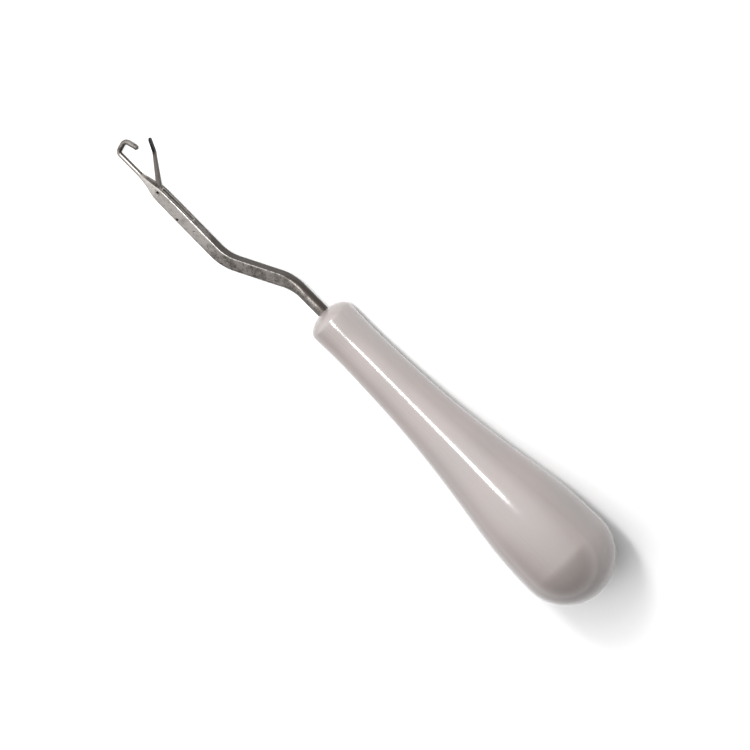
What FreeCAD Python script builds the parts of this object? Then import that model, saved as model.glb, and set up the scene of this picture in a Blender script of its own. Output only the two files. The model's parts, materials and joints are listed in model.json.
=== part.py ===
import FreeCAD
import Part
import math
import os

from FreeCAD import Placement, Rotation, Vector

# Bent latch hook: a pear-shaped plastic handle, a cranked steel shank that ends in a hook, and a latch
# that swings on a rivet to close the hook.
#
# The tool is modelled along its handle first: X runs from the handle's front end to the hook, Z is the
# side that the latch opens to, and Y is the rivet's axis. It is then laid on the floor z = 0 as it comes
# to rest by itself, on the bulb, the handle's shoulder and the hook, with one flat side of the shank up.

# Handle, a body of revolution about X
HANDLE_LENGTH = 99.0
BULB_RADIUS = 12.75
SHOULDER_RADIUS = 6.32
SHOULDER_DEPTH = 3.5
# (distance behind the front end, radius) along the waist and the flare of the bulb
HANDLE_FLARE = [(9.5, 6.18), (20.0, 6.36), (30.0, 6.8), (40.0, 7.56), (50.0, 8.7), (60.0, 10.15), (72.0, 11.97)]

# Shank: round wire in the handle, pressed to a square bar in front of it
WIRE_RADIUS = 1.63
TANG_DEPTH = 42.0
COIN_START = -34.0
COIN_LENGTH = 12.0
COIN_WIDTH = 4.4
COIN_THICKNESS = 1.95
TIP_CHAMFER = 0.6
BAR_HEIGHT = 3.3
BAR_THICKNESS = 2.9
BAR_CORNER = 0.3
CRANK_START = (10.35, 0.0)
CRANK_END = (26.65, -9.65)
BAR_END = (46.0, -9.45)
CRANK_RADIUS = 12.0
SHAPING_STEPS = 3
SHAPING_CORNER = 0.97 * WIRE_RADIUS

# Cheeks: (place, height, thickness, corner) where the bar's front end is drawn down
CHEEK_MIDDLE = ((50.4, -9.42), 3.15, BAR_THICKNESS, BAR_CORNER)
CHEEK_TAPER = ((54.0, -9.45), 1.75, 2.2, 0.5)
CHEEK_FRONT = 56.8
CHEEK_INSET = 0.04

# Hook: round wire drawn out of the bar's front end, thinner towards its tip
STEM_RADIUS = 0.66
HOOK_TIP_RADIUS = 0.5
STEM_Z = -9.66
STEM_ROOT = 2.0
HOOK_CORNER = (64.75, STEM_Z)
HOOK_NOSE = (65.72, -5.76)
HOOK_TIP = (61.7, -4.65)
CORNER_RADIUS = 1.15
CROWN_RADIUS = 1.2

# Latch, its slot and its rivet
PIVOT = (50.5, -8.95)
SLOT_WIDTH = 1.0
SLOT_BACK = 39.4
SLOT_FLOOR = -9.95
SLOT_RISE = (53.2, 56.6)
SLOT_HEAD = 4.0
EYE_RADIUS = 0.9
EYE_BORE = 0.46
BLADE_LENGTH = 10.5
BLADE_THICKNESS = 0.84
BLADE_ROOT_HEIGHT = 1.4
BLADE_END_HEIGHT = 0.88
SPOON_LENGTH = 3.75
SPOON_BEND = 13.0
SPOON_WIDTH = 1.3
SPOON_THICKNESS = 0.6
SPOON_FLARE = (-0.2, 1.4)
SPOON_FLAT = (-0.6, 0.2)
SPOON_GROOVE_START = 0.9
SPOON_GROOVE_RADIUS = 0.62
SPOON_GROOVE_DEPTH = 0.14
LATCH_ANGLE = 42.2
RIVET_RADIUS = 0.42
RIVET_HEAD_RADIUS = 0.7
RIVET_HEAD_DEPTH = 0.28
RIVET_MARK_RADIUS = 0.28
RIVET_MARK_DEPTH = 0.12

# Small press mark in the bar's upper flat side
PRESS_MARK = (42.2, -10.5)
PRESS_MARK_RADIUS = 0.3
PRESS_MARK_DEPTH = 0.14

ALONG = Vector(1, 0, 0)
ACROSS = Vector(0, 1, 0)
UP = Vector(0, 0, 1)


def at(point, y=0.0):
    """A place in the tool's bend plane, or beside it."""
    return Vector(point[0], y, point[1])


def direction(start, end):
    """Unit vector in the bend plane from one place to another."""
    return (at(end) - at(start)).normalize()


def along(start, end, distance):
    """The place that is a distance from start on the line to end."""
    step = direction(start, end) * distance
    return (start[0] + step.x, start[1] + step.z)


def bend(before, corner, after, radius):
    """Tangent arc that rounds a corner of the centre line, with its two end places."""
    turn = direction(before, corner).getAngle(direction(corner, after))
    reach = radius * math.tan(turn / 2)
    first = along(corner, before, reach)
    last = along(corner, after, reach)
    inward = (direction(corner, before) + direction(corner, after)).normalize()
    middle = at(corner) + inward * (radius / math.cos(turn / 2) - radius)
    return Part.Arc(at(first), middle, at(last)).toShape(), first, last


def outline(places):
    """Closed wire of straight edges in the bend plane."""
    return Part.makePolygon([at(p) for p in places + places[:1]])


def extrude_across(wire, thickness):
    """Plate of the given outline, centred on the bend plane."""
    face = Part.Face(wire)
    face.translate(ACROSS * (-thickness / 2))
    return face.extrude(ACROSS * thickness)


def bar_section(place, heading, height, thickness, corner):
    """Rounded rectangle square to the heading, as a wire of four sides and four corner arcs."""
    top = heading.cross(ACROSS)
    top = top if top.z > 0 else top * -1
    half_t = thickness / 2 - corner
    half_h = height / 2 - corner
    diagonal = corner * math.sqrt(0.5)
    edges = []
    for s, h in ((1, 1), (-1, 1), (-1, -1), (1, -1)):
        centre = at(place) + ACROSS * (s * half_t) + top * (h * half_h)
        beside = centre + ACROSS * (s * corner)
        above = centre + top * (h * corner)
        middle = centre + ACROSS * (s * diagonal) + top * (h * diagonal)
        ends = (beside, above) if s == h else (above, beside)
        edges.append((ends[0], middle, ends[1]))
    wire = []
    for k, (start, middle, end) in enumerate(edges):
        wire.append(Part.Arc(start, middle, end).toShape())
        wire.append(Part.LineSegment(end, edges[(k + 1) % 4][0]).toShape())
    return Part.Wire(wire)


def make_handle(shank):
    """Moulded handle: domed front, slim waist and round bulb, moulded round the tang."""
    bulb_x = BULB_RADIUS - HANDLE_LENGTH
    dome = Part.Ellipse(at((-SHOULDER_DEPTH, SHOULDER_RADIUS)), at((0, 0)), at((-SHOULDER_DEPTH, 0)))
    front = Part.ArcOfEllipse(dome, 0, math.pi / 2)
    flare = Part.BSplineCurve()
    points = [at((-SHOULDER_DEPTH, SHOULDER_RADIUS))]
    points += [at((-back, radius)) for back, radius in HANDLE_FLARE]
    points.append(at((bulb_x, BULB_RADIUS)))
    flare.interpolate(Points=points, InitialTangent=-ALONG, FinalTangent=-ALONG)
    slant = BULB_RADIUS * math.sqrt(0.5)
    end = Part.Arc(points[-1], at((bulb_x - slant, slant)), at((-HANDLE_LENGTH, 0)))
    axis = Part.LineSegment(at((-HANDLE_LENGTH, 0)), at((0, 0)))
    wire = Part.Wire(Part.__sortEdges__([c.toShape() for c in (front, flare, end, axis)]))
    solid = Part.Face(wire).revolve(Vector(0, 0, 0), ALONG, 360)
    return solid.cut(shank)


def make_tang():
    """Round wire in the handle, pressed flat for a stretch so that it can't turn or pull out."""
    length = TANG_DEPTH + CRANK_START[0] - crank_reach()
    wire = Part.makeCylinder(WIRE_RADIUS, length, at((-TANG_DEPTH, 0)), ALONG)
    wire = wire.makeChamfer(TIP_CHAMFER, [e for e in wire.Edges if e.BoundBox.XMax < 1 - TANG_DEPTH])
    for side in (-1, 1):
        low = COIN_THICKNESS / 2 if side > 0 else -COIN_THICKNESS / 2 - WIRE_RADIUS
        waste = Part.makeBox(COIN_LENGTH, 2 * COIN_WIDTH, WIRE_RADIUS, Vector(COIN_START, -COIN_WIDTH, low))
        wire = wire.cut(waste)
    corner = Vector(COIN_START, -COIN_WIDTH / 2, -COIN_THICKNESS / 2)
    flat = Part.makeBox(COIN_LENGTH, COIN_WIDTH, COIN_THICKNESS, corner)
    flat = flat.makeFillet(COIN_WIDTH / 4, [e for e in flat.Edges if e.Length == COIN_THICKNESS])
    return wire.fuse(flat)


def crank_reach():
    """How far the first bend's arc starts before its corner."""
    turn = ALONG.getAngle(direction(CRANK_START, CRANK_END))
    return CRANK_RADIUS * math.tan(turn / 2)


def make_bar():
    """Square bar: it grows out of the round wire in the first bend and keeps its size to the cheeks."""
    first_arc, _, first_end = bend((0, 0), CRANK_START, CRANK_END, CRANK_RADIUS)
    second_arc, second_start, second_end = bend(CRANK_START, CRANK_END, BAR_END, CRANK_RADIUS)
    curve = first_arc.Curve
    start, end = first_arc.ParameterRange
    if first_arc.valueAt(start).x > first_arc.valueAt(end).x:
        start, end = end, start
    sections = []
    for k in range(SHAPING_STEPS + 1):
        share = k / SHAPING_STEPS
        place = curve.value(start + (end - start) * share)
        heading = curve.tangent(start + (end - start) * share)[0]
        height = 2 * WIRE_RADIUS + (BAR_HEIGHT - 2 * WIRE_RADIUS) * share
        thickness = 2 * WIRE_RADIUS + (BAR_THICKNESS - 2 * WIRE_RADIUS) * share
        corner = SHAPING_CORNER + (BAR_CORNER - SHAPING_CORNER) * share
        sections.append(bar_section((place.x, place.z), heading, height, thickness, corner))
    shaping = Part.makeLoft(sections, True)
    incline = Part.LineSegment(at(first_end), at(second_start)).toShape()
    front = Part.LineSegment(at(second_end), at(BAR_END)).toShape()
    path = Part.Wire([incline, second_arc, front])
    heading = direction(CRANK_START, CRANK_END)
    profile = bar_section(first_end, heading, BAR_HEIGHT, BAR_THICKNESS, BAR_CORNER)
    return shaping, path.makePipeShell([profile], True, True)


def make_cheeks():
    """Front end of the bar, drawn down until it runs out inside the round stem of the hook."""
    inner = STEM_RADIUS - CHEEK_INSET
    level = direction(CRANK_END, BAR_END)
    sections = [bar_section(BAR_END, level, BAR_HEIGHT, BAR_THICKNESS, BAR_CORNER)]
    for place, height, thickness, corner in (CHEEK_MIDDLE, CHEEK_TAPER):
        sections.append(bar_section(place, ALONG, height, thickness, corner))
    sections.append(bar_section((CHEEK_FRONT, STEM_Z), ALONG, 2 * inner, 2 * inner, 0.9 * inner))
    return Part.makeLoft(sections, True)


def make_hook():
    """Stem and hook: a tapered round wire that turns back over itself and ends squarely."""
    root = (CHEEK_FRONT - STEM_ROOT, STEM_Z)
    corner, corner_in, corner_out = bend(root, HOOK_CORNER, HOOK_NOSE, CORNER_RADIUS)
    crown, crown_in, crown_out = bend(HOOK_CORNER, HOOK_NOSE, HOOK_TIP, CROWN_RADIUS)
    stem = Part.makeCylinder(STEM_RADIUS, corner_in[0] - root[0], at(root), ALONG)
    nose = Part.LineSegment(at(corner_out), at(crown_in)).toShape()
    tip = Part.LineSegment(at(crown_out), at(HOOK_TIP)).toShape()
    path = Part.Wire([corner, nose, crown, tip])
    thick = Part.Wire(Part.makeCircle(STEM_RADIUS, at(corner_in), ALONG))
    thin = Part.Wire(Part.makeCircle(HOOK_TIP_RADIUS, at(HOOK_TIP), direction(crown_out, HOOK_TIP)))
    wire = path.makePipeShell([thick, thin], True, True)
    end = [e for e in wire.Edges if (e.CenterOfMass - at(HOOK_TIP)).Length < HOOK_TIP_RADIUS / 2]
    return stem.fuse(wire.makeFillet(HOOK_TIP_RADIUS / 3, end[:1]))


def slot_space():
    """Space milled out between the cheeks: upright at its back, with a ramp to the stem in front."""
    above = STEM_Z + SLOT_HEAD
    wire = outline([
        (SLOT_BACK, above), (SLOT_BACK, SLOT_FLOOR), (SLOT_RISE[0], SLOT_FLOOR),
        (SLOT_RISE[1], STEM_Z + STEM_RADIUS), (SLOT_RISE[1], above)])
    return extrude_across(wire, SLOT_WIDTH)


def rivet_shape():
    """Rivet with two countersunk heads, peened flush with the cheeks."""
    half = BAR_THICKNESS / 2
    body = Part.makeCylinder(RIVET_RADIUS, BAR_THICKNESS, at(PIVOT, -half), ACROSS)
    for side in (-1, 1):
        face = at(PIVOT, side * half)
        head = Part.makeCone(RIVET_HEAD_RADIUS, RIVET_RADIUS, RIVET_HEAD_DEPTH, face, ACROSS * -side)
        body = body.fuse(head)
    return body


def make_rivet():
    """The rivet with the small mark that its punch left in each head."""
    rivet = rivet_shape()
    for side in (-1, 1):
        rivet = rivet.cut(dimple(PIVOT, side, RIVET_MARK_RADIUS, RIVET_MARK_DEPTH))
    return rivet.removeSplitter()


def dimple(place, side, radius, depth):
    """Round hollow of the given radius and depth in one of the bar's flat sides."""
    ball = (radius * radius + depth * depth) / (2 * depth)
    return Part.makeSphere(ball, at(place, side * (BAR_THICKNESS / 2 + ball - depth)))


def make_shank():
    """One piece of steel from the tang in the handle to the tip of the hook."""
    shaping, bar = make_bar()
    shank = make_tang().multiFuse([shaping, bar, make_cheeks(), make_hook()])
    shank = shank.cut(slot_space())
    shank = shank.cut(rivet_shape())
    return shank.cut(dimple(PRESS_MARK, 1, PRESS_MARK_RADIUS, PRESS_MARK_DEPTH))


def make_latch():
    """Latch: an eye on the rivet, a flat blade, and a grooved spoon that covers the hook's tip."""
    half_root = BLADE_ROOT_HEIGHT / 2
    half_end = BLADE_END_HEIGHT / 2
    half_spoon = SPOON_THICKNESS / 2
    lean = math.radians(SPOON_BEND)
    end = (BLADE_LENGTH + SPOON_LENGTH * math.cos(lean), -SPOON_LENGTH * math.sin(lean))
    rise = (half_spoon * math.sin(lean), half_spoon * math.cos(lean))
    blade = outline([
        (0, half_root), (0, -half_root), (BLADE_LENGTH + SPOON_FLAT[0], -half_end),
        (end[0] - rise[0], end[1] - rise[1]), (end[0] + rise[0], end[1] + rise[1]),
        (BLADE_LENGTH + SPOON_FLAT[1], half_end)])
    side_view = extrude_across(blade, SPOON_WIDTH)
    half_t = BLADE_THICKNESS / 2
    flare_start = BLADE_LENGTH + SPOON_FLARE[0]
    flare_end = BLADE_LENGTH + SPOON_FLARE[1]
    tip_start = end[0] - SPOON_WIDTH / 2
    left = [Vector(-EYE_RADIUS, half_t, 0), Vector(flare_start, half_t, 0), Vector(flare_end, SPOON_WIDTH / 2, 0),
            Vector(tip_start, SPOON_WIDTH / 2, 0)]
    right = [Vector(p.x, -p.y, 0) for p in reversed(left)]
    tip = Part.Arc(left[-1], Vector(end[0], 0, 0), right[0]).toShape()
    edges = [Part.makePolygon(left), tip, Part.makePolygon(right + left[:1])]
    plan = Part.Face(Part.Wire([e for part in edges for e in part.Edges]))
    plan.translate(UP * -BLADE_LENGTH)
    body = side_view.common(plan.extrude(UP * 2 * BLADE_LENGTH))
    eye = Part.makeCylinder(EYE_RADIUS, BLADE_THICKNESS, at((0, 0), -half_t), ACROSS)
    body = body.fuse(eye).removeSplitter()
    slope = Vector(math.cos(lean), 0, -math.sin(lean))
    below = Vector(-math.sin(lean), 0, -math.cos(lean))
    offset = half_spoon + SPOON_GROOVE_RADIUS - SPOON_GROOVE_DEPTH
    start = at((BLADE_LENGTH, 0)) + slope * SPOON_GROOVE_START + below * offset
    groove = Part.makeCylinder(SPOON_GROOVE_RADIUS, SPOON_LENGTH, start, slope)
    groove = groove.fuse(Part.makeSphere(SPOON_GROOVE_RADIUS, start))
    body = body.cut(groove)
    body = body.cut(Part.makeCylinder(EYE_BORE, 2 * BLADE_THICKNESS, at((0, 0), -BLADE_THICKNESS), ACROSS))
    body.rotate(Vector(0, 0, 0), ACROSS, -LATCH_ANGLE)
    body.translate(at(PIVOT))
    return body


def zero_of(function, low, high):
    """Where a rising function crosses zero, by halving."""
    for _ in range(60):
        middle = (low + high) / 2
        if function(middle) < 0:
            low = middle
        else:
            high = middle
    return (low + high) / 2


def resting_turn():
    """Turn that lays the tool down: the handle slopes until its shoulder touches, then the shank rolls
    about the handle's axis until the hook's outer corner touches."""
    bulb_x = BULB_RADIUS - HANDLE_LENGTH

    def shoulder_gap(slope):
        dome = math.hypot(SHOULDER_DEPTH * math.sin(slope), SHOULDER_RADIUS * math.cos(slope))
        return (BULB_RADIUS - dome) - math.sin(slope) * (-SHOULDER_DEPTH - bulb_x)

    slope = zero_of(lambda s: -shoulder_gap(s), 0.0, 0.2)

    corner, _, _ = bend((CHEEK_FRONT, STEM_Z), HOOK_CORNER, HOOK_NOSE, CORNER_RADIUS)
    centre = corner.Curve.Center

    def hook_height(roll):
        sideways = math.cos(slope) * math.sin(roll)
        drop = math.sin(slope) * (centre.x - bulb_x) + sideways * centre.z
        swing = CORNER_RADIUS * math.hypot(math.sin(slope), sideways)
        return BULB_RADIUS - drop - swing - STEM_RADIUS

    roll = zero_of(hook_height, -0.5, 0.5)
    lean = Rotation(ACROSS, math.degrees(slope))
    return lean.multiply(Rotation(ALONG, 90 + math.degrees(roll)))


def main():
    shank = make_shank()
    nodes = {
        "handle": make_handle(shank),
        "shank": shank,
        "latch": make_latch(),
        "latch_rivet": make_rivet(),
    }
    nodes = {name: shape.Solids[0] for name, shape in nodes.items()}
    turn = resting_turn()
    laid = Part.Compound([shape.copy() for shape in nodes.values()])
    laid.Placement = Placement(Vector(0, 0, 0), turn)
    box = laid.optimalBoundingBox(False)
    place = Placement(Vector(-box.Center.x, -box.Center.y, -box.ZMin), turn)
    os.makedirs("parts", exist_ok=True)
    for name, shape in nodes.items():
        shape.Placement = place.multiply(shape.Placement)
        shape.exportStep(os.path.join("parts", name + ".step"))
        print(name, shape.ShapeType, len(shape.Solids), shape.isValid(), round(shape.Volume, 2))
    print("pivot", [round(v, 4) for v in place.multVec(at(PIVOT))])
    print("pivot axis", [round(v, 6) for v in turn.multVec(-ACROSS)])
    print("handle axis", [round(v, 6) for v in turn.multVec(ALONG)])
    print("front end", [round(v, 4) for v in place.multVec(Vector(0, 0, 0))])
    print("box", [round(v, 3) for v in (box.XLength, box.YLength, box.ZLength)])


main()
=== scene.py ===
import json
import math

import bmesh
import bpy
import numpy as np
from mathutils import Matrix, Vector


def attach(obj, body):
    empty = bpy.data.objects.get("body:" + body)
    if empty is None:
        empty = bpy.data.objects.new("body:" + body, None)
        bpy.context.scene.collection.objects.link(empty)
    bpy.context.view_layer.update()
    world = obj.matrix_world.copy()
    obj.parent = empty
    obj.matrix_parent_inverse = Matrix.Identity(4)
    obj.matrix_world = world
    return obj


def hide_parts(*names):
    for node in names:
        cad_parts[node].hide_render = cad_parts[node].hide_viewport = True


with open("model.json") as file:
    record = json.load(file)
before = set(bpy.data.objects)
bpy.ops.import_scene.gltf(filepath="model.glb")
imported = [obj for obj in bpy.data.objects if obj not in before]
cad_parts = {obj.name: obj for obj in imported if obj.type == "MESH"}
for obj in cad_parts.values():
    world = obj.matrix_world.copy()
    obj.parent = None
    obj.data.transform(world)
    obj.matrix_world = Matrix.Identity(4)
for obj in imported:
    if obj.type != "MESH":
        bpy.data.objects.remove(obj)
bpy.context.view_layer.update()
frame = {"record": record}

# ---- Lie of the tool -------------------------------------------------------------------------------------
# The tool lies on its bulb, its shoulder and its hook, with a flat side of the shank up. Each piece is
# shaped in millimetres along the tool: X from the handle's front end to the hook, Y across the bend and Z
# towards the side that the latch opens to. The latch's hinge and the handle's grip say where that lies.
MM = 0.001
PIVOT = Vector((50.5, 0.0, -8.95))
hinge = frame["record"]["behaviour"]["joints"][0]
grip = next(mount for mount in frame["record"]["mounts"] if mount["name"] == "grip")
tool_x = Vector(grip["axis"]).normalized()
tool_y = -Vector(hinge["axis"]).normalized()
tool_z = tool_x.cross(tool_y)
tool_turn = Matrix((tool_x, tool_y, tool_z)).transposed()
front_end = Vector(hinge["pos_m"]) - tool_turn @ PIVOT * MM
tool_lie = Matrix.Translation(front_end) @ (tool_turn * MM).to_4x4()

# ---- Handle ----------------------------------------------------------------------------------------------
# One glossy moulding of pinkish grey plastic round the shank's tang: a domed front end, a slim waist and a
# round bulb. It is turned from one profile, with the fine parting line of its two-part mould along both
# sides and the small sunk mark of the gate at the bulb's end.
HANDLE_LENGTH = 99.0
BULB_RADIUS = 12.74
SHOULDER_RADIUS = 6.32
SHOULDER_DEPTH = 3.5
HANDLE_FLARE = [(9.5, 6.18), (20.0, 6.36), (30.0, 6.8), (40.0, 7.56), (50.0, 8.7), (60.0, 10.15),
                (72.0, 11.97)]
BORE_RADIUS = 1.66
BORE_DEPTH = 42.3
LIP_RADIUS = 0.3
GATE_RADIUS = 0.8
GATE_DEPTH = 0.12
PARTING_TURN = 8.4
PARTING_DEPTH = 0.025
PARTING_WIDTH = 0.11
PLASTIC = (0.18, 0.162, 0.155)
PLASTIC_WARM = (0.195, 0.167, 0.16)
LIP_ARC_STEPS = 7
SHOULDER_STEPS = 28
WAIST_STEPS = 130
BULB_STEPS = 70
BORE_STEPS = 12
BORE_MOUTH = 1.0
GATE_STEEPNESS = 6
HANDLE_SIDES = 208
SIDES_BUNCHING = 0.4
SPINDLE_RADIUS = 1e-5
WELD_DISTANCE = 1e-4


class Signal:
    """A socket in a node tree. Arithmetic on it adds Math nodes, and node() adds any other node."""

    def __init__(self, tree, socket=None):
        self.tree = tree
        self.socket = socket

    def node(self, kind, settings=None, sockets=None, output=0):
        added = self.tree.nodes.new(kind)
        for name, setting in (settings or {}).items():
            setattr(added, name, setting)
        for name, value in (sockets or {}).items():
            if isinstance(value, Signal):
                self.tree.links.new(value.socket, added.inputs[name])
            else:
                added.inputs[name].default_value = value
        return Signal(self.tree, added.outputs[output] if added.outputs else None)

    def math(self, operation, *terms):
        return self.node("ShaderNodeMath", {"operation": operation}, dict(enumerate(terms)))

    def __add__(self, other):
        return self.math("ADD", self, other)

    def __radd__(self, other):
        return self.math("ADD", other, self)

    def __sub__(self, other):
        return self.math("SUBTRACT", self, other)

    def __rsub__(self, other):
        return self.math("SUBTRACT", other, self)

    def __mul__(self, other):
        return self.math("MULTIPLY", self, other)

    def __rmul__(self, other):
        return self.math("MULTIPLY", other, self)

    def __truediv__(self, other):
        return self.math("DIVIDE", self, other)

    def __pow__(self, other):
        return self.math("POWER", self, other)

    def range(self, start, end, low=0.0, high=1.0):
        """Goes smoothly from low to high as the value goes from start to end."""
        sockets = {"Value": self, "From Min": start, "From Max": end, "To Min": low, "To Max": high}
        return self.node("ShaderNodeMapRange", {"interpolation_type": "SMOOTHSTEP"}, sockets)

    def mix(self, low, high):
        """Mixes two colours, with this value as the share of the second."""
        sockets = {0: self, 6: low, 7: high}
        return self.node("ShaderNodeMix", {"data_type": "RGBA"}, sockets, output=2)


def noise(net, place, scale, detail=2.0, roughness=0.5):
    """Noise value at a place, with so many lumps to each unit."""
    sockets = {"Vector": place, "Scale": scale, "Detail": detail, "Roughness": roughness}
    return net.node("ShaderNodeTexNoise", {}, sockets)


def stretched(net, place, factors):
    """A place with its three directions stretched, so that a pattern runs long along one of them."""
    return net.node("ShaderNodeVectorMath", {"operation": "MULTIPLY"}, {0: place, 1: factors})


def new_finish(name):
    """An empty material, its node net and a place on the tool in millimetres, along the tool's own axes."""
    material = bpy.data.materials.new(name)
    material.use_nodes = True
    material.node_tree.nodes.clear()
    net = Signal(material.node_tree)
    place = net.node("ShaderNodeTexCoord", output="Object")
    turn = tool_turn.to_euler()
    sockets = {"Vector": place, "Location": front_end, "Rotation": turn, "Scale": (MM, MM, MM)}
    return material, net, net.node("ShaderNodeMapping", {"vector_type": "TEXTURE"}, sockets)


def finish_surface(net, sockets):
    """Joins the surface shader to the material's output."""
    surface = net.node("ShaderNodeBsdfPrincipled", {}, sockets)
    net.node("ShaderNodeOutputMaterial", {}, {"Surface": surface})


def bumped(net, height, distance):
    """Normal of a surface that rises by the distance, in millimetres, as the height goes from 0 to 1."""
    return net.node("ShaderNodeBump", {}, {"Height": height, "Distance": distance * MM, "Strength": 1.0})


def new_tree(name, inputs):
    """An empty geometry tree with named inputs, its net and those inputs."""
    tree = bpy.data.node_groups.new(name, "GeometryNodeTree")
    for label, kind in inputs.items():
        tree.interface.new_socket(label, in_out="INPUT", socket_type="NodeSocket" + kind)
    tree.interface.new_socket("Shape", in_out="OUTPUT", socket_type="NodeSocketGeometry")
    given = tree.nodes.new("NodeGroupInput")
    return tree, Signal(tree), {label: Signal(tree, given.outputs[label]) for label in inputs}


def end_tree(net, shape, finish):
    """Last steps of every geometry tree: smooth faces, no instances and the finish."""
    shape = net.node("GeometryNodeSetShadeSmooth", {}, {"Geometry": shape})
    shape = net.node("GeometryNodeRealizeInstances", {}, {"Geometry": shape})
    shape = net.node("GeometryNodeSetMaterial", {}, {"Geometry": shape, "Material": finish})
    net.node("NodeGroupOutput", {}, {"Shape": shape})


def turning_tree():
    """Turns a profile about its axis, as a lathe does, with an optional sunk line along both sides."""
    kinds = {"Profile": "Geometry", "Sides": "Int", "Bunching": "Float", "Line depth": "Float",
             "Line width": "Float", "Finish": "Material"}
    tree, net, given = new_tree("turned", kinds)
    profile = net.node("GeometryNodeMeshToCurve", {}, {"Mesh": given["Profile"]})
    circle = {"Resolution": given["Sides"], "Radius": SPINDLE_RADIUS}
    spindle = net.node("GeometryNodeCurvePrimitiveCircle", {}, circle)
    shape = net.node("GeometryNodeCurveToMesh", {}, {"Curve": spindle, "Profile Curve": profile})
    parts = net.tree.nodes.new("ShaderNodeSeparateXYZ")
    position = net.node("GeometryNodeInputPosition")
    net.tree.links.new(position.socket, parts.inputs[0])
    x, y, z = (Signal(tree, socket) for socket in parts.outputs)
    radius = (x * x + y * y) ** 0.5
    angle = net.math("ARCTAN2", y, x)
    angle = angle - given["Bunching"] * net.math("SINE", angle * 2.0)
    aside = radius * net.math("SINE", angle) / given["Line width"]
    nearness = net.math("EXPONENT", 0.0 - aside * aside)
    radius = radius - given["Line depth"] * nearness * radius.range(2.0, 5.0)
    moved = net.node("ShaderNodeCombineXYZ", {}, {
        "X": radius * net.math("COSINE", angle), "Y": radius * net.math("SINE", angle), "Z": z})
    shape = net.node("GeometryNodeSetPosition", {}, {"Geometry": shape, "Position": moved})
    shape = net.node("GeometryNodeMergeByDistance", {}, {"Geometry": shape, "Distance": WELD_DISTANCE})
    end_tree(net, shape, given["Finish"])
    return tree


def polyline(name, places, closed=False, **values):
    """Chain of edges through the places, with the named values stored at each place."""
    mesh = bpy.data.meshes.new(name)
    edges = [(k, k + 1) for k in range(len(places) - 1)]
    if closed:
        edges.append((len(places) - 1, 0))
    mesh.from_pydata([tuple(p) for p in places], edges, [])
    for label, data in values.items():
        data = np.asarray(data, dtype=float)
        kind, field = ("FLOAT_VECTOR", "vector") if data.ndim == 2 else ("FLOAT", "value")
        mesh.attributes.new(label, kind, "POINT").data.foreach_set(field, data.ravel())
    return mesh


def grown(name, mesh, tree, sizes):
    """Runs a geometry tree on a mesh and keeps what it makes as a plain mesh."""
    source = bpy.data.objects.new(name, mesh)
    bpy.context.scene.collection.objects.link(source)
    modifier = source.modifiers.new(tree.name, "NODES")
    modifier.node_group = tree
    for item in tree.interface.items_tree:
        if item.in_out == "INPUT" and item.name in sizes:
            modifier[item.identifier] = sizes[item.name]
    evaluated = source.evaluated_get(bpy.context.evaluated_depsgraph_get())
    result = bpy.data.meshes.new_from_object(evaluated)
    bpy.data.objects.remove(source)
    outward(result)
    return result


def outward(mesh):
    """Turns all faces of closed shells outwards."""
    form = bmesh.new()
    form.from_mesh(mesh)
    bmesh.ops.recalc_face_normals(form, faces=form.faces[:])
    form.to_mesh(mesh)
    form.free()


def laid_piece(name, mesh, place, body, slot, *nodes):
    """Lays a finished mesh where it belongs, riding on its body in place of the plain nodes."""
    mesh.transform(tool_lie @ place)
    mesh.name = name
    piece = bpy.data.objects.new(name, mesh)
    bpy.context.scene.collection.objects.link(piece)
    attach(piece, body)
    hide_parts(*nodes)


def spline(stations, values, at):
    """Smooth curve through the values, level at both ends."""
    stations, values = np.array(stations), np.array(values)
    gaps = np.diff(stations)
    rises = np.diff(values) / gaps
    rows = np.eye(len(stations))
    aims = np.zeros(len(stations))
    for k in range(1, len(stations) - 1):
        before, after = 1 / gaps[k - 1], 1 / gaps[k]
        rows[k, k - 1:k + 2] = before, 2 * (before + after), after
        aims[k] = 3 * (rises[k - 1] * before + rises[k] * after)
    slopes = np.linalg.solve(rows, aims)
    k = np.clip(np.searchsorted(stations, at) - 1, 0, len(gaps) - 1)
    t = (at - stations[k]) / gaps[k]
    ends = values[k] * (1 + 2 * t) * (1 - t) ** 2 + values[k + 1] * (3 - 2 * t) * t ** 2
    return ends + gaps[k] * (slopes[k] * t * (1 - t) ** 2 - slopes[k + 1] * t ** 2 * (1 - t))


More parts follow.
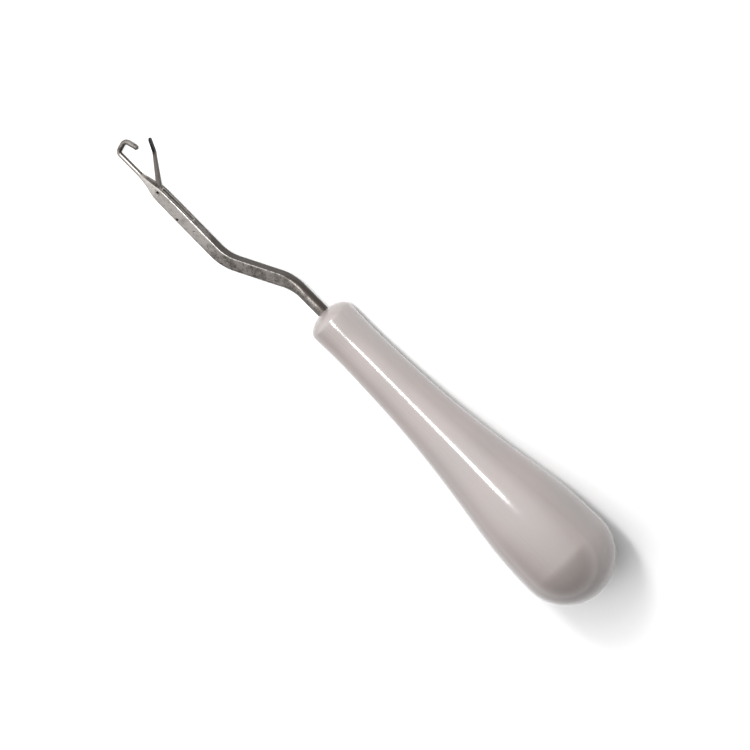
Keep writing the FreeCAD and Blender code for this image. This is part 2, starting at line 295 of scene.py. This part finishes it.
def handle_profile():
    """Half outline of the handle, as radius and distance behind the front end, from the bore's floor to
    the bulb's end."""
    places = [(0.0, BORE_DEPTH), (BORE_RADIUS, BORE_DEPTH)]
    places += [(BORE_RADIUS, depth) for depth in np.linspace(BORE_DEPTH, BORE_MOUTH, BORE_STEPS)[1:]]
    rim = math.asin((BORE_RADIUS + LIP_RADIUS) / SHOULDER_RADIUS)
    rim_depth = SHOULDER_DEPTH * (1 - math.cos(rim))
    for turn in np.linspace(0, math.pi / 2, LIP_ARC_STEPS)[:-1]:
        across = LIP_RADIUS * (1 - math.cos(turn))
        places.append((BORE_RADIUS + across, rim_depth + LIP_RADIUS * (1 - math.sin(turn))))
    for turn in np.linspace(rim, math.pi / 2, SHOULDER_STEPS)[:-1]:
        places.append((SHOULDER_RADIUS * math.sin(turn), SHOULDER_DEPTH * (1 - math.cos(turn))))
    bulb = HANDLE_LENGTH - BULB_RADIUS
    stations = [(SHOULDER_DEPTH, SHOULDER_RADIUS)] + HANDLE_FLARE + [(bulb, BULB_RADIUS)]
    depths = np.linspace(SHOULDER_DEPTH, bulb, WAIST_STEPS)
    radii = spline([s[0] for s in stations], [s[1] for s in stations], depths)
    places += list(zip(radii, depths))[:-1]
    for turn in np.linspace(0, math.pi / 2, BULB_STEPS):
        radius = BULB_RADIUS * math.cos(turn)
        sunk = GATE_DEPTH * (1 - min(1.0, radius / GATE_RADIUS) ** GATE_STEEPNESS)
        places.append((radius, bulb + BULB_RADIUS * math.sin(turn) - sunk))
    return [(radius, depth, 0.0) for radius, depth in places]


def make_plastic():
    """Pinkish grey plastic: faint clouds in the colour, a hard gloss with hairline rubs, and a skin that is
    very slightly uneven."""
    material, net, place = new_finish("handle plastic")
    clouds = noise(net, place, 0.06, detail=3.0)
    grain = noise(net, place, 3.5, detail=2.0)
    tint = clouds.range(0.3, 0.7).mix((*PLASTIC, 1), (*PLASTIC_WARM, 1))
    speckled = grain.range(0.62, 0.8, 0.0, 0.1).mix(tint, (*PLASTIC_WARM, 1))
    rubs = noise(net, stretched(net, place, (0.35, 5.0, 5.0)), 1.0, detail=4.0, roughness=0.7)
    skin = noise(net, place, 0.35, detail=2.0)
    height = skin * 0.8 + rubs * 0.06
    finish_surface(net, {
        "Base Color": speckled, "Roughness": 0.14 + rubs.range(0.45, 0.75, 0.0, 0.12), "IOR": 1.5,
        "Coat Weight": 0.55, "Coat Roughness": 0.03, "Normal": bumped(net, height, 0.02)})
    return material


turned = turning_tree()
plastic = make_plastic()
handle_mesh = grown("profile", polyline("profile", handle_profile()), turned, {
    "Sides": HANDLE_SIDES, "Bunching": SIDES_BUNCHING,
    "Line depth": PARTING_DEPTH, "Line width": PARTING_WIDTH, "Finish": plastic})
parting = math.radians(PARTING_TURN)
turned_to_tool = Matrix((
    (0, 0, 1, 0),
    (math.cos(parting), -math.sin(parting), 0, 0),
    (math.sin(parting), math.cos(parting), 0, 0),
    (0, 0, 0, 1)))
laid_piece("handle_moulding", handle_mesh, turned_to_tool, "tool", "handle_plastic", "handle")

# ---- Shank -----------------------------------------------------------------------------------------------
# One length of steel wire, round in the handle, pressed to a square bar through the two bends of the crank,
# slotted into two cheeks in front, drawn down to a round stem and turned back as the hook. The pressing
# leaves a mottled grey skin, rubbed smooth along the corners, where a highlight is painted into the colour.
# The upper faces are painted darker as shade.
TANG_DEPTH = 42.0
CRANK_START = (10.35, 0.0)
CRANK_END = (26.65, -9.65)
BAR_END = (46.0, -9.45)
CHEEK_MIDDLE = (50.4, -9.42)
CHEEK_TAPER = (54.0, -9.45)
STEM_START = (56.8, -9.66)
HOOK_CORNER = (64.75, -9.66)
HOOK_NOSE = (65.6, -5.76)
HOOK_TIP = (61.7, -4.65)
CRANK_RADIUS = 12.0
CHEEK_RADIUS = 4.0
CORNER_RADIUS = 1.15
CROWN_RADIUS = 1.2
# half height in the bend plane, half thickness across it, and corner radius, at places along the shank
ROUND_WIRE = (1.63, 1.63, 1.63)
TANG_TIP = (1.03, 1.03, 1.03)
TANG_FLAT = (0.975, 2.2, 0.5)
TANG_TAPER = 0.6
TANG_FLAT_BACK = -34.0
TANG_FLAT_FRONT = -22.0
SQUARE_BAR = (1.65, 1.45, 0.3)
CHEEKS = (1.575, 1.45, 0.3)
CHEEK_NECK = (0.875, 1.1, 0.5)
STEM = (0.66, 0.66, 0.66)
HOOK_END = (0.5, 0.5, 0.5)
STEM_LEAD = 2.0
SHANK_EASE = 0.35
TIP_BLUNTNESS = 0.35
ROUTE_STEP = 0.5
SHANK_SIDES = 64
SLOT_WIDTH = 1.0
SLOT_BACK = 39.4
SLOT_FLOOR = -9.95
SLOT_RISE = (53.2, 56.6)
SLOT_HEAD = 4.0
SLOT_END_RADIUS = 1.2
SLOT_CURVE_STEPS = 6
CUT_BEVEL = 0.05
BEVEL_ANGLE = math.radians(40)
SHARP_ANGLE = math.radians(35)
PRESS_MARKS = [((42.2, -10.5), 0.34, 0.2), ((37.0, -9.55), 0.2, 0.05), ((28.0, -9.9), 0.22, 0.05)]
STEEL = (0.29, 0.271, 0.256)
STEEL_DARK = (0.034, 0.028, 0.024)
# Colour of the rubbed corners, painted brighter as a highlight.
STEEL_WEAR_AND_SHEEN = (0.6, 0.585, 0.565)
# Black painted as shade into the punch marks and over the latch's cupped spoon.
SHADE_BLACK = (0.01, 0.009, 0.008)
# Punch marks painted black as shade: the one in the rivet's head and the deepest press mark.
DARK_SPOTS = [((PIVOT.x, PIVOT.z), 0.4), PRESS_MARKS[0][:2]]
# The colour is darker along the crank and behind it, and on the upper part of the turned-back hook.
DARKER_BEHIND = (36.0, 26.0)
DARKER_AHEAD = (60.0, 61.0)
DARKER_ABOVE = (-9.3, -8.4)
NOWHERE_BLACK = (90.0, 91.0)


def rounded_route(corners, radii, spacing):
    """Places and headings along straight runs whose corners are rounded by arcs of the given radii."""
    corners = [Vector((x, 0.0, z)) for x, z in corners]
    places, headings = [], []
    start = corners[0]
    for k, radius in enumerate(radii + [0.0]):
        heading = (corners[k + 1] - corners[k]).normalized()
        leaving = (corners[k + 2] - corners[k + 1]).normalized() if radius else heading
        turn = heading.angle(leaving)
        end = corners[k + 1] - heading * radius * math.tan(turn / 2)
        for share in np.arange(0.0, 1.0, spacing / (end - start).length):
            places.append(start.lerp(end, share))
            headings.append(heading)
        inward = (leaving - heading * heading.dot(leaving)).normalized()
        steps = max(2, round(turn * max(4.0, radius * 1.5)) * 2)
        for bend in np.linspace(0, turn, steps, endpoint=False):
            if radius:
                forward = heading * radius * math.sin(bend)
                places.append(end + inward * radius * (1 - math.cos(bend)) + forward)
                headings.append(heading * math.cos(bend) + inward * math.sin(bend))
        start = corners[k + 1] + leaving * radius * math.tan(turn / 2)
    return np.array(places + [corners[-1]]), np.array(headings + [headings[-1]])


def drawing_tree():
    """Gives a route a section that changes along it: a rounded rectangle of its own half height, half
    thickness and corner radius at each place, with an optional hollow in its underside."""
    kinds = {"Route": "Geometry", "Points around": "Int", "Flatness": "Float", "Finish": "Material"}
    tree, net, given = new_tree("drawn", kinds)

    def stored(label, kind="FLOAT"):
        return net.node("GeometryNodeInputNamedAttribute", {"data_type": kind}, {"Name": label})

    def vector(operation, first, second, output=0):
        return net.node("ShaderNodeVectorMath", {"operation": operation}, {0: first, 1: second}, output)

    def longer(direction, amount):
        return net.node("ShaderNodeVectorMath", {"operation": "SCALE"}, {0: direction, "Scale": amount})

    def spread(wave, half):
        """Offset of a point of the section: along the flat side first, then round the corner."""
        ahead = net.math("MAXIMUM", net.math("MINIMUM", wave * given["Flatness"], 1.0), -1.0)
        return ahead * (half - corner) + corner * wave

    route = net.node("GeometryNodeMeshToCurve", {}, {"Mesh": given["Route"]})
    ring = net.node("GeometryNodeCurvePrimitiveCircle", {}, {"Resolution": given["Points around"]})
    share = net.node("GeometryNodeSplineParameter", output="Factor")
    ring = net.node("GeometryNodeStoreNamedAttribute", {"data_type": "FLOAT", "domain": "POINT"},
                    {"Geometry": ring, "Name": "around", "Value": share})
    swept = {"Curve": route, "Profile Curve": ring, "Fill Caps": True}
    shape = net.node("GeometryNodeCurveToMesh", {}, swept)
    angle = stored("around") * math.tau
    corner = stored("corner")
    across = spread(net.math("COSINE", angle), stored("half_thickness"))
    rise = spread(net.math("SINE", angle), stored("half_height"))
    under = net.math("SINE", angle).range(-0.2, -0.5)
    middle = 1.0 - (across / stored("half_thickness")) ** 2.0
    rise = rise + stored("hollow") * under * middle
    sideways = net.node("ShaderNodeCombineXYZ", {}, {"Y": across})
    upwards = longer(vector("CROSS_PRODUCT", stored("heading", "FLOAT_VECTOR"), (0.0, 1.0, 0.0)), rise)
    place = vector("ADD", stored("centre", "FLOAT_VECTOR"), vector("ADD", sideways, upwards))
    shape = net.node("GeometryNodeSetPosition", {}, {"Geometry": shape, "Position": place})
    # Where the section's corners are, read by the steel for rubbed corners with a painted highlight.
    ridge = net.math("ABSOLUTE", net.math("SINE", angle * 2.0)) * (1.0 - corner / stored("half_height"))
    shape = net.node("GeometryNodeStoreNamedAttribute", {"data_type": "FLOAT", "domain": "POINT"},
                     {"Geometry": shape, "Name": "ridge", "Value": ridge})
    # How far each point of the section faces up, read by the steel to paint shade on the upper face.
    shape = net.node("GeometryNodeStoreNamedAttribute", {"data_type": "FLOAT", "domain": "POINT"},
                     {"Geometry": shape, "Name": "upper", "Value": net.math("SINE", angle)})
    end_tree(net, shape, given["Finish"])
    return tree


def drawn_mesh(name, places, headings, sizes, finish, sides, hollow=0.0, flatness=4.0):
    """Mesh of a route with its sizes, a row of half height, half thickness and corner for each place."""
    line = polyline(name, places, centre=places, heading=headings, half_height=sizes[:, 0],
                    half_thickness=sizes[:, 1], corner=sizes[:, 2], hollow=np.zeros(len(places)) + hollow)
    return grown(name, line, drawn, {"Points around": sides, "Flatness": flatness, "Finish": finish})


def sizes_along(stations, distances, ease):
    """Sizes at each distance, straight between the stations and then eased over a short length."""
    marks = [s[0] for s in stations]
    rows = np.array([s[1] for s in stations])
    offsets = np.linspace(-ease, ease, 9)
    columns = []
    for column in rows.T:
        columns.append(np.mean([np.interp(distances + o, marks, column) for o in offsets], axis=0))
    return np.array(columns).T


def plate(name, places, thickness):
    """Plate of an outline in the bend plane, used to cut a slot."""
    form = bmesh.new()
    sides = [[form.verts.new((x, y, z)) for x, z in places] for y in (-thickness / 2, thickness / 2)]
    form.faces.new(sides[0])
    form.faces.new(sides[1])
    for k in range(len(places)):
        after = (k + 1) % len(places)
        form.faces.new((sides[0][k], sides[0][after], sides[1][after], sides[1][k]))
    mesh = bpy.data.meshes.new(name)
    form.to_mesh(mesh)
    form.free()
    outward(mesh)
    return mesh


def combined(mesh, others, operation, bevel=0.0):
    """Cuts the other meshes out of a mesh, or joins them to it, and breaks the new sharp edges."""
    objects = [bpy.data.objects.new("cut", m) for m in [mesh] + others]
    for item in objects:
        bpy.context.scene.collection.objects.link(item)
    for tool in objects[1:]:
        modifier = objects[0].modifiers.new("cut", "BOOLEAN")
        modifier.operation = operation
        modifier.solver = "EXACT"
        modifier.object = tool
    if bevel:
        modifier = objects[0].modifiers.new("bevel", "BEVEL")
        modifier.width = bevel
        modifier.segments = 2
        modifier.limit_method = "ANGLE"
        modifier.angle_limit = BEVEL_ANGLE
    evaluated = objects[0].evaluated_get(bpy.context.evaluated_depsgraph_get())
    result = bpy.data.meshes.new_from_object(evaluated)
    for item in objects:
        bpy.data.objects.remove(item)
    result.set_sharp_from_angle(angle=SHARP_ANGLE)
    return result


def shank_line():
    """Route of the shank, its headings and its sizes."""
    corners = [(-TANG_DEPTH, 0.0), CRANK_START, CRANK_END, BAR_END, CHEEK_MIDDLE, CHEEK_TAPER, STEM_START,
               HOOK_CORNER, HOOK_NOSE, HOOK_TIP]
    radii = [CRANK_RADIUS, CRANK_RADIUS] + [CHEEK_RADIUS] * 4 + [CORNER_RADIUS, CROWN_RADIUS]
    places, headings = rounded_route(corners, radii, ROUTE_STEP)
    steps = np.linalg.norm(np.diff(places, axis=0), axis=1)
    distances = np.concatenate([[0.0], np.cumsum(steps)])
    forward = places[:, 0] < HOOK_CORNER[0] - CORNER_RADIUS

    def at(x):
        return np.interp(x, places[forward, 0], distances[forward])

    turn = math.atan2(-CRANK_END[1], CRANK_END[0] - CRANK_START[0])
    reach = CRANK_RADIUS * math.tan(turn / 2)
    end = distances[-1]
    stations = [
        (0.0, TANG_TIP), (TANG_TAPER, ROUND_WIRE),
        (at(TANG_FLAT_BACK - TANG_TAPER), ROUND_WIRE), (at(TANG_FLAT_BACK), TANG_FLAT),
        (at(TANG_FLAT_FRONT), TANG_FLAT), (at(TANG_FLAT_FRONT + TANG_TAPER), ROUND_WIRE),
        (at(CRANK_START[0] - reach), ROUND_WIRE),
        (at(CRANK_START[0] + reach * math.cos(turn)), SQUARE_BAR), (at(BAR_END[0]), SQUARE_BAR),
        (at(CHEEK_MIDDLE[0]), CHEEKS), (at(CHEEK_TAPER[0]), CHEEK_NECK), (at(STEM_START[0]), STEM),
        (at(HOOK_CORNER[0] - STEM_LEAD), STEM), (end, HOOK_END)]
    sizes = sizes_along(stations, distances, SHANK_EASE)
    tip = np.clip((end - distances) / HOOK_END[0], 0.0, 1.0)
    rounding = TIP_BLUNTNESS + (1 - TIP_BLUNTNESS) * np.sqrt(1 - (1 - tip) ** 2)
    return places, headings, sizes * rounding[:, None]


def make_steel(name, base, dark, bright, spots, black=NOWHERE_BLACK):
    """Pressed steel: mottled grey skin in blotches and specks, drawn lines along it, and corners rubbed
    smooth and painted bright as a highlight. The upper face is painted darker as shade, and the colour is
    darker along the crank and on the turned-back hook. The punch marks are painted black as shade, and the
    piece is painted black as shade ahead of the given distances."""
    material, net, place = new_finish(name)
    ridge = net.node("ShaderNodeAttribute", {"attribute_name": "ridge"}, {}, output="Fac")
    upper = net.node("ShaderNodeAttribute", {"attribute_name": "upper"}, {}, output="Fac")

    def measured(direction):
        sockets = {0: place, 1: direction}
        return net.node("ShaderNodeVectorMath", {"operation": "DOT_PRODUCT"}, sockets, "Value")

    ahead = measured((1, 0, 0))
    blotches = noise(net, place, 0.55, detail=4.0, roughness=0.6)
    specks = noise(net, place, 2.6, detail=3.0, roughness=0.65)
    lines = noise(net, stretched(net, place, (0.25, 6.0, 6.0)), 1.0, detail=3.0, roughness=0.6)
    rise = measured((0, 0, 1))
    # Darker along the crank and behind it, and on the upper part of the turned-back hook.
    pressed = ahead.range(*DARKER_BEHIND) + ahead.range(*DARKER_AHEAD) * rise.range(*DARKER_ABOVE)
    # Shade painted black into the punch marks.
    sunk = 0.0
    for spot, radius in DARK_SPOTS:
        away = ((ahead - spot[0]) ** 2.0 + (rise - spot[1]) ** 2.0) ** 0.5
        sunk = away.range(radius * 1.15, radius * 0.75) + sunk
    mottle_and_shade = blotches.range(0.42, 0.66) * 0.3 + specks.range(0.5, 0.72) * spots
    # Painted shade: the upper face of each section is painted darker.
    mottle_and_shade = mottle_and_shade + upper.range(0.3, 0.9) * 0.7
    mottle_and_shade = net.math("MINIMUM", mottle_and_shade + pressed * 0.55, 1.0)
    tone = mottle_and_shade.mix((*base, 1), (*dark, 1))
    # Corners rubbed smoother, with lower roughness, and painted brighter in colour as a highlight.
    wear_and_sheen = ridge.range(0.62, 0.95) * specks.range(0.72, 0.4)
    # Painted shade: black in the punch marks and ahead of the given distances.
    black_shade = net.math("MINIMUM", ahead.range(*black) + sunk, 1.0)
    colour = black_shade.mix(wear_and_sheen.mix(tone, (*bright, 1)), (*SHADE_BLACK, 1))
    height = lines * 0.35 + blotches * 0.8 + specks * 0.35
    finish_surface(net, {
        "Base Color": colour, "Metallic": 1.0 - 0.25 * mottle_and_shade,
        "Roughness": 0.27 + 0.16 * mottle_and_shade + 0.08 * lines - 0.12 * wear_and_sheen,
        "Normal": bumped(net, height, 0.03)})
    return material


drawn = drawing_tree()
steel = make_steel("pressed steel", STEEL, STEEL_DARK, STEEL_WEAR_AND_SHEEN, 0.5)
shank_places, shank_headings, shank_sizes = shank_line()
shank_mesh = drawn_mesh("shank", shank_places, shank_headings, shank_sizes, steel, SHANK_SIDES)
slot_top = STEM_START[1] + SLOT_HEAD
slot_curve = [
    (SLOT_BACK + SLOT_END_RADIUS * (1 - math.sin(t)), SLOT_FLOOR + SLOT_END_RADIUS * (1 - math.cos(t)))
    for t in np.linspace(math.pi / 2, 0, SLOT_CURVE_STEPS)]
slot_front = [(SLOT_RISE[0], SLOT_FLOOR), (SLOT_RISE[1], STEM_START[1] + STEM[0]), (SLOT_RISE[1], slot_top)]
slot_tool = plate("slot", [(SLOT_BACK, slot_top)] + slot_curve + slot_front, SLOT_WIDTH)

# ---- Latch rivet -----------------------------------------------------------------------------------------
# A steel pin through both cheeks and the latch's eye, peened flush into two countersinks. A punch leaves a
# small mark in the middle of each head.
RIVET_RADIUS = 0.42
RIVET_HEAD_RADIUS = 0.7
RIVET_HEAD_DEPTH = 0.28
RIVET_MARK_RADIUS = 0.42
RIVET_MARK_DEPTH = 0.24
RIVET_GAP = 0.03
RIVET_EDGE = (0.06, 0.05)
RIVET_SIDES = 48
HOLE_OVERRUN = 0.4
MARK_ARC_STEPS = 33


def rivet_profile(extra, mark):
    """Half outline of the rivet, or of the hole for it, which is a little wider all round."""
    half = CHEEKS[1]
    head, pin = RIVET_HEAD_RADIUS + extra, RIVET_RADIUS + extra
    side = [(0.0, half - mark), (RIVET_MARK_RADIUS * 0.5, half - mark * 0.75), (RIVET_MARK_RADIUS, half),
            (head - RIVET_EDGE[0], half), (head, half - RIVET_EDGE[1]), (pin, half - RIVET_HEAD_DEPTH)]
    if not mark:
        side = [(0.0, half + HOLE_OVERRUN), (head, half + HOLE_OVERRUN), (head, half - RIVET_EDGE[1]),
                (pin, half - RIVET_HEAD_DEPTH)]
    return [(radius, y, 0.0) for radius, y in side] + [(radius, -y, 0.0) for radius, y in reversed(side)]


def turned_across(place):
    """Places a turned shape with its axis across the bend plane."""
    return Matrix.Translation(place) @ Matrix.Rotation(math.pi / 2, 4, "X")


plain = {"Sides": RIVET_SIDES, "Bunching": 0.0, "Line depth": 0.0, "Line width": 1.0}
rivet_mesh = grown("rivet", polyline("rivet", rivet_profile(0.0, RIVET_MARK_DEPTH)), turned,
                   {**plain, "Finish": steel})
rivet_mesh.set_sharp_from_angle(angle=SHARP_ANGLE)
rivet_hole = grown("hole", polyline("hole", rivet_profile(RIVET_GAP, 0.0)), turned,
                   {**plain, "Finish": steel})
rivet_hole.transform(turned_across(PIVOT))
laid_piece("rivet_pin", rivet_mesh, turned_across(PIVOT), "tool", "steel", "latch_rivet")

marks = []
for spot, radius, depth in PRESS_MARKS:
    ball = (radius ** 2 + depth ** 2) / (2 * depth)
    arc = [(ball * math.sin(t), ball * math.cos(t), 0.0) for t in np.linspace(0, math.pi, MARK_ARC_STEPS)]
    mark = grown("mark", polyline("mark", arc), turned, {**plain, "Finish": steel})
    mark.transform(Matrix.Translation((spot[0], SQUARE_BAR[1] + ball - depth, spot[1])))
    marks.append(mark)
shank_mesh = combined(shank_mesh, [slot_tool, rivet_hole] + marks, "DIFFERENCE", bevel=CUT_BEVEL)
laid_piece("shank_steel", shank_mesh, Matrix.Identity(4), "tool", "steel", "shank")

# ---- Latch -----------------------------------------------------------------------------------------------
# A small stamping of darker steel that swings between the cheeks: an eye on the rivet, a flat blade that
# narrows, and a spoon end with a groove, which covers the hook's tip when the latch is shut. The cupped
# spoon is painted black as shade.
EYE_RADIUS = 0.9
EYE_BORE = 0.46
BLADE_LENGTH = 10.5
BLADE_THICKNESS = 0.84
BLADE_ROOT_HEIGHT = 1.4
BLADE_END_HEIGHT = 0.88
SPOON_LENGTH = 3.75
SPOON_BEND = 13.0
SPOON_WIDTH = 1.3
SPOON_THICKNESS = 0.6
SPOON_HOLLOW = 0.14
SPOON_BEND_RADIUS = 3.0
SPOON_FLARE = (-0.9, 1.2)
HOLLOW_RISE = (0.3, 1.3)
BLADE_START = 0.62
BLADE_CORNERS = (0.14, 0.12)
SPOON_TIP_WIDTH = 0.12
SPOON_TIP_THICKNESS = 0.5
SPOON_CORNER = 0.16
LATCH_STEP = 0.15
LATCH_EASE = 0.3
LATCH_SIDES = 40
LATCH_BEVEL = 0.04
LATCH_ANGLE = 42.2
LATCH_STEEL = (0.13, 0.115, 0.105)
LATCH_DARK = (0.05, 0.043, 0.038)
# The latch is painted black as shade ahead of these distances, over its cupped spoon.
SPOON_SHADED = (57.6, 58.6)


def latch_line():
    """Route of the blade and the spoon, from the eye's edge, with the sizes and the hollow's depth."""
    lean = math.radians(SPOON_BEND)
    end = (BLADE_LENGTH + SPOON_LENGTH * math.cos(lean), -SPOON_LENGTH * math.sin(lean))
    corners = [(BLADE_START, 0.0), (BLADE_LENGTH, 0.0), end]
    places, headings = rounded_route(corners, [SPOON_BEND_RADIUS], LATCH_STEP)
    steps = np.linalg.norm(np.diff(places, axis=0), axis=1)
    distances = np.concatenate([[BLADE_START], BLADE_START + np.cumsum(steps)])
    half_blade = BLADE_THICKNESS / 2
    spoon = (SPOON_THICKNESS / 2, SPOON_WIDTH / 2, SPOON_CORNER)
    stations = [
        (0.0, (BLADE_ROOT_HEIGHT / 2, half_blade, BLADE_CORNERS[0])),
        (BLADE_LENGTH + SPOON_FLARE[0], (BLADE_END_HEIGHT / 2, half_blade, BLADE_CORNERS[1])),
        (BLADE_LENGTH + SPOON_FLARE[1], spoon),
        (distances[-1], spoon)]
    sizes = sizes_along(stations, distances, LATCH_EASE)
    tip = np.clip((distances[-1] - distances) / (SPOON_WIDTH / 2), 0.0, 1.0)
    rounding = np.sqrt(1 - (1 - tip) ** 2)
    sizes[:, 1] *= SPOON_TIP_WIDTH + (1 - SPOON_TIP_WIDTH) * rounding
    sizes[:, 0] *= SPOON_TIP_THICKNESS + (1 - SPOON_TIP_THICKNESS) * rounding
    sizes[:, 2] = np.minimum(sizes[:, 2], 0.9 * np.minimum(sizes[:, 0], sizes[:, 1]))
    rise = np.interp(distances - BLADE_LENGTH, HOLLOW_RISE, [0, 1])
    return places, headings, sizes, SPOON_HOLLOW * rise * tip


latch_steel = make_steel("latch steel", LATCH_STEEL, LATCH_DARK, STEEL, 0.4, black=SPOON_SHADED)
latch_places, latch_headings, latch_sizes, spoon_hollow = latch_line()
blade_mesh = drawn_mesh("blade", latch_places, latch_headings, latch_sizes, latch_steel, LATCH_SIDES,
                        spoon_hollow)
half_eye = BLADE_THICKNESS / 2
eye_outline = [(EYE_BORE, -half_eye), (EYE_RADIUS, -half_eye), (EYE_RADIUS, half_eye), (EYE_BORE, half_eye)]
eye_mesh = grown("eye", polyline("eye", [(r, y, 0.0) for r, y in eye_outline], closed=True), turned,
                 {**plain, "Finish": latch_steel})
eye_mesh.transform(Matrix.Rotation(math.pi / 2, 4, "X"))
latch_mesh = combined(blade_mesh, [eye_mesh], "UNION", bevel=LATCH_BEVEL)
latch_place = Matrix.Translation(PIVOT) @ Matrix.Rotation(-math.radians(LATCH_ANGLE), 4, "Y")
laid_piece("latch_blade", latch_mesh, latch_place, "latch", "latch_steel", "latch")

# ---- Table top -------------------------------------------------------------------------------------------
# The tool lies on a plain matt white table top.
TABLE_HALF = 3.0
TABLE_WHITE = (0.68, 0.68, 0.68, 1)

table_mesh = bpy.data.meshes.new("table top")
table_corners = [(x * TABLE_HALF, y * TABLE_HALF, 0.0) for x, y in ((-1, -1), (1, -1), (1, 1), (-1, 1))]
table_mesh.from_pydata(table_corners, [], [(0, 1, 2, 3)])
matt_white, table_net, _ = new_finish("matt white")
finish_surface(table_net, {"Base Color": TABLE_WHITE, "Roughness": 0.9, "Specular IOR Level": 0.2})
table_mesh.materials.append(matt_white)
table_top = bpy.data.objects.new("table_top", table_mesh)
bpy.context.scene.collection.objects.link(table_top)

# ---- Camera ----------------------------------------------------------------------------------------------
# A long lens looks down at the tool, with the handle's bulb at the lower right and the hook at the upper
# left.
VIEW_TILT = math.radians(32.0)
VIEW_SPIN = math.radians(45.07)
VIEW_WIDTH = 0.1881
VIEW_CENTRE = (13.1, 15.95)
LENS_DISTANCE = 1.5
SENSOR_WIDTH = 36.0

to_camera = tool_y * math.cos(VIEW_TILT) + tool_z * math.sin(VIEW_TILT)
beside_tool = tool_z * math.cos(VIEW_TILT) - tool_y * math.sin(VIEW_TILT)
view_right = -tool_x * math.cos(VIEW_SPIN) + beside_tool * math.sin(VIEW_SPIN)
view_up = tool_x * math.sin(VIEW_SPIN) + beside_tool * math.cos(VIEW_SPIN)
view_target = front_end + (view_right * VIEW_CENTRE[0] - view_up * VIEW_CENTRE[1]) * MM
camera_data = bpy.data.cameras.new("camera")
camera_data.sensor_width = SENSOR_WIDTH
camera_data.lens = SENSOR_WIDTH * LENS_DISTANCE / VIEW_WIDTH
camera = bpy.data.objects.new("camera", camera_data)
camera_turn = Matrix((view_right, view_up, to_camera)).transposed().to_4x4()
camera.matrix_world = Matrix.Translation(view_target + to_camera * LENS_DISTANCE) @ camera_turn
bpy.context.scene.collection.objects.link(camera)
bpy.context.scene.camera = camera

# ---- Light -----------------------------------------------------------------------------------------------
# A white studio tent, bright on the hook's side and overhead and nearly dark beyond the bulb, gives the
# soft light, with an even glow low down all round. One small lamp close above the handle draws the long
# streak along it, and another lights the shank.
TENT_HOOK = 2.8
TENT_BULB = 0.02
TENT_RIM = 1.5
TENT_AIM = (0.97, -0.12, 0.2)
TENT_FADE = (-0.14, 0.5)
RIM_FADE = (0.62, -0.05)
# distance ahead of the handle's front end, aside and above, length, width and power of each lamp
LAMPS = [(-8.0, 30.0, 180.0, 0.013, 0.028, 0.04), (42.0, 16.0, 180.0, 0.075, 0.034, 0.36)]

world = bpy.data.worlds.new("studio tent")
world.use_nodes = True
world.node_tree.nodes.clear()
tent = Signal(world.node_tree)
towards = tent.node("ShaderNodeTexCoord", output="Generated")


def facing(direction):
    """How far a direction of the tent points along the given one, from -1 to 1."""
    sockets = {0: towards, 1: direction}
    return tent.node("ShaderNodeVectorMath", {"operation": "DOT_PRODUCT"}, sockets, "Value")


glow = facing(TENT_AIM).range(*TENT_FADE, TENT_BULB, TENT_HOOK)
rim = facing((0, 0, 1)).range(*RIM_FADE)
glow = glow * (1 - rim) + rim * TENT_RIM
backdrop = tent.node("ShaderNodeBackground", {}, {"Color": (1, 1, 1, 1), "Strength": glow})
tent.node("ShaderNodeOutputWorld", {}, {"Surface": backdrop})
bpy.context.scene.world = world

for ahead, aside, height, length, width, power in LAMPS:
    lamp_data = bpy.data.lights.new("lamp", "AREA")
    lamp_data.shape = "ELLIPSE"
    lamp_data.size, lamp_data.size_y = length, width
    lamp_data.energy = power
    lamp = bpy.data.objects.new("lamp", lamp_data)
    lamp_turn = Matrix((tool_x, beside_tool, to_camera)).transposed().to_4x4()
    offset = (tool_x * ahead - beside_tool * aside + to_camera * height) * MM
    lamp.matrix_world = Matrix.Translation(front_end + offset) @ lamp_turn
    lamp.visible_camera = False
    bpy.context.scene.collection.objects.link(lamp)

bpy.context.scene.view_settings.view_transform = "Standard"
